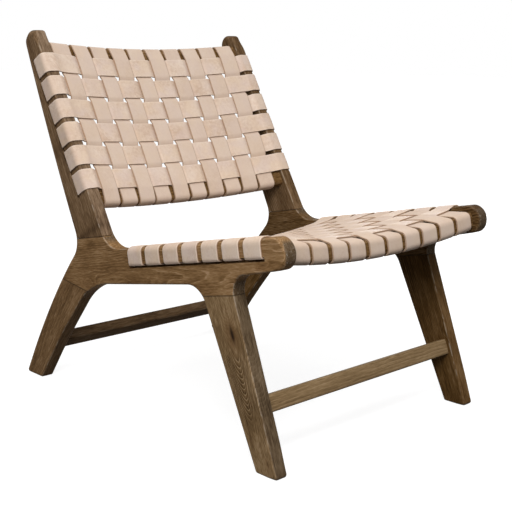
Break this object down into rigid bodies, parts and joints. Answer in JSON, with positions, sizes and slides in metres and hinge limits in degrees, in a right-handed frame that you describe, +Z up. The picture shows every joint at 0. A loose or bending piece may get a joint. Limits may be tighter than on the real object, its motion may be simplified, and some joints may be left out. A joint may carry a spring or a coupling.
{
  "type": "lounge chair",
  "caption": "Low armless lounge chair: two glued-up wooden side frames, bowed cross rails and stretchers, with seat and back woven from flat leather straps.",
  "frame": {"origin": "on the floor, under the middle of the chair's bounding box", "axes": "+Z up, the chair faces -Y, +X to the right of a person who looks at its front"},
  "size_m": [0.5896, 0.8128, 0.758],
  "materials": {
    "wood": "weathered brown oil finish",
    "leather": "natural vegetable-tanned, matt"
  },
  "bodies": {
    "root": {"left_back_post": "wood", "left_side_rail": "wood", "left_front_leg": "wood", "left_rear_leg": "wood", "left_post_tenon": "wood", "left_front_leg_tenon": "wood", "left_rear_leg_tenon": "wood", "right_back_post": "wood", "right_side_rail": "wood", "right_front_leg": "wood", "right_rear_leg": "wood", "right_post_tenon": "wood", "right_front_leg_tenon": "wood", "right_rear_leg_tenon": "wood", "front_stretcher": "wood", "rear_stretcher": "wood", "front_seat_rail": "wood", "rear_seat_rail": "wood", "lower_back_rail": "wood", "top_back_rail": "wood", "seat_long_strap_1": "leather", "seat_long_strap_2": "leather", "seat_long_strap_3": "leather", "seat_long_strap_4": "leather", "seat_long_strap_5": "leather", "seat_long_strap_6": "leather", "seat_long_strap_7": "leather", "seat_long_strap_8": "leather", "seat_long_strap_9": "leather", "seat_long_strap_10": "leather", "seat_cross_strap_1": "leather", "seat_cross_strap_2": "leather", "seat_cross_strap_3": "leather", "seat_cross_strap_4": "leather", "seat_cross_strap_5": "leather", "seat_cross_strap_6": "leather", "seat_cross_strap_7": "leather", "back_upright_strap_1": "leather", "back_upright_strap_2": "leather", "back_upright_strap_3": "leather", "back_upright_strap_4": "leather", "back_upright_strap_5": "leather", "back_upright_strap_6": "leather", "back_upright_strap_7": "leather", "back_upright_strap_8": "leather", "back_upright_strap_9": "leather", "back_upright_strap_10": "leather", "back_cross_strap_1": "leather", "back_cross_strap_2": "leather", "back_cross_strap_3": "leather", "back_cross_strap_4": "leather", "back_cross_strap_5": "leather", "back_cross_strap_6": "leather"}
  },
  "joints": []
}
